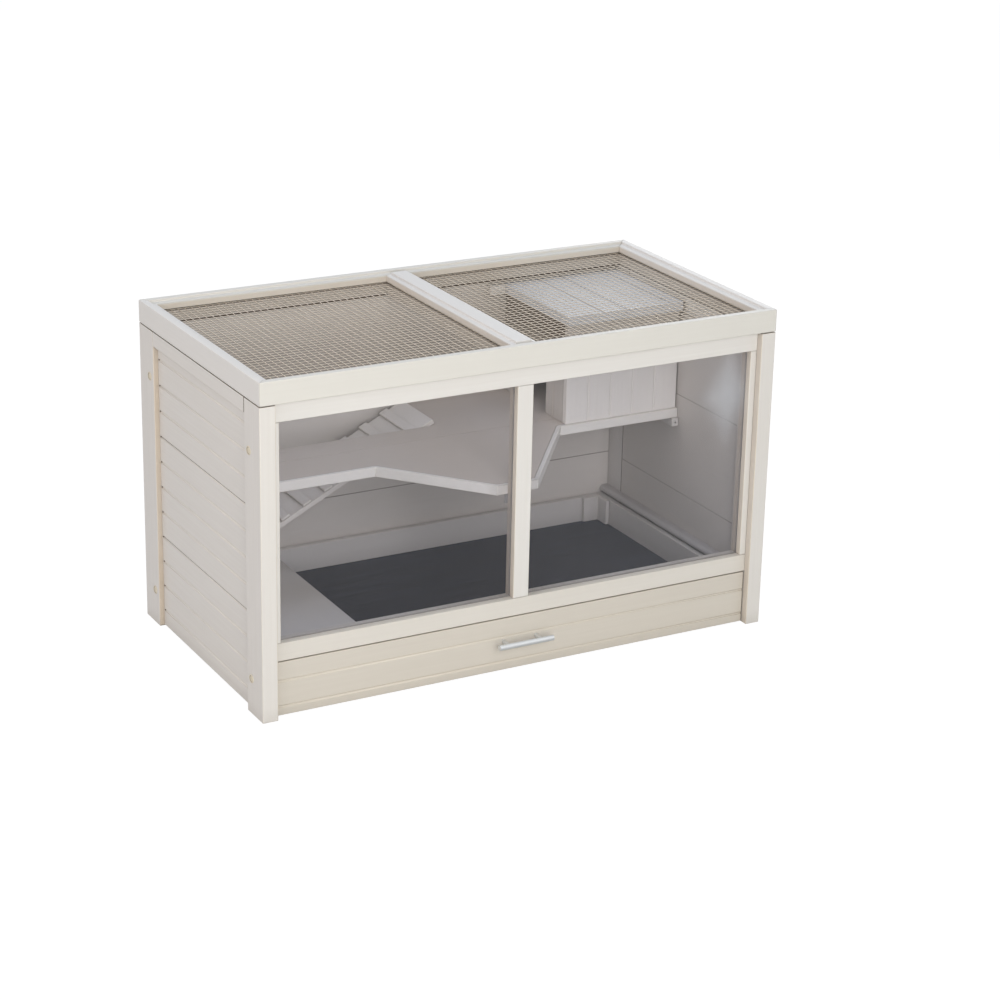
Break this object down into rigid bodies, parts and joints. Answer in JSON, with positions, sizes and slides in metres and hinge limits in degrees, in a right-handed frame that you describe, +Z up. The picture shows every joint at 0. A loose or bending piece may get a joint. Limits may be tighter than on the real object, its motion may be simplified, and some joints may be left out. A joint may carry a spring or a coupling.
{
  "type": "hamster cage",
  "caption": "Wide wooden small-pet cage with a hinged mesh lid, clear front panes, a slide-out floor drawer, an inner shelf, a ramp and a hide house.",
  "frame": {"origin": "on the floor, in the middle of the whole outline", "axes": "+X to the cage's right seen from the front, +Y to the back, +Z up"},
  "size_m": [0.9824, 0.5368, 0.59],
  "materials": {
    "case_paint": "off-white satin paint on softwood",
    "lid_paint": "off-white satin paint on softwood",
    "drawer_paint": "off-white satin paint on softwood",
    "inside_paint": "off-white satin paint on board",
    "pane": "clear, polished",
    "mesh_wire": "galvanised",
    "hinge_steel": "zinc plated",
    "screw_steel": "zinc plated",
    "handle_metal": "fine brushed",
    "lining": "dark slate laminate, matt",
    "cap": "cream, semi-matt"
  },
  "bodies": {
    "case": {"post_front_left": "case_paint", "post_front_right": "case_paint", "post_back_left": "case_paint", "post_back_right": "case_paint", "side_rail_left": "case_paint", "side_rail_right": "case_paint", "left_board_low": "case_paint", "left_board_mid": "case_paint", "left_board_top": "case_paint", "right_board_low": "case_paint", "right_board_mid": "case_paint", "right_board_top": "case_paint", "back_board_low": "case_paint", "back_board_mid": "case_paint", "back_board_top": "case_paint", "head_rail": "case_paint", "sill_rail": "case_paint", "stile_left": "case_paint", "stile_right": "case_paint", "centre_stile": "case_paint", "drawer_runners": "case_paint", "guide_strip": "case_paint", "landing_board": "case_paint", "shelf_front_board": "inside_paint", "shelf_back_board": "inside_paint", "shelf_edging": "inside_paint", "shelf_cleats": "inside_paint", "ramp_board": "inside_paint", "ramp_treads": "inside_paint", "house_front": "inside_paint", "house_side": "inside_paint", "house_roof": "inside_paint", "house_battens": "inside_paint", "pane_left": "pane", "pane_right": "pane", "hinge_case_leaves": "hinge_steel", "hinge_pins": "hinge_steel", "brackets": "hinge_steel", "hinge_case_screws": "screw_steel", "roof_screws": "screw_steel", "cam_fittings": "screw_steel", "cover_caps": "cap"},
    "lid": {"lid_front_rail": "lid_paint", "lid_back_rail": "lid_paint", "lid_left_rail": "lid_paint", "lid_right_rail": "lid_paint", "lid_centre_bar": "lid_paint", "lid_mesh_left": "mesh_wire", "lid_mesh_right": "mesh_wire", "hinge_lid_leaves": "hinge_steel", "hinge_lid_screws": "screw_steel"},
    "drawer": {"drawer_front": "drawer_paint", "drawer_side_left": "drawer_paint", "drawer_side_right": "drawer_paint", "drawer_back": "drawer_paint", "drawer_base": "drawer_paint", "drawer_lining": "lining", "drawer_corner_strips": "drawer_paint", "handle": "handle_metal", "handle_screws": "screw_steel"}
  },
  "joints": [
    {"name": "lid_hinge", "type": "hinge", "parent": "case", "child": "lid", "pos_m": [0, 0.26515, 0.5495], "axis": [-1, 0, 0], "range_deg": [0, 100]},
    {"name": "drawer_slide", "type": "slide", "parent": "case", "child": "drawer", "axis": [0, -1, 0], "range_m": [0, 0.4]}
  ]
}
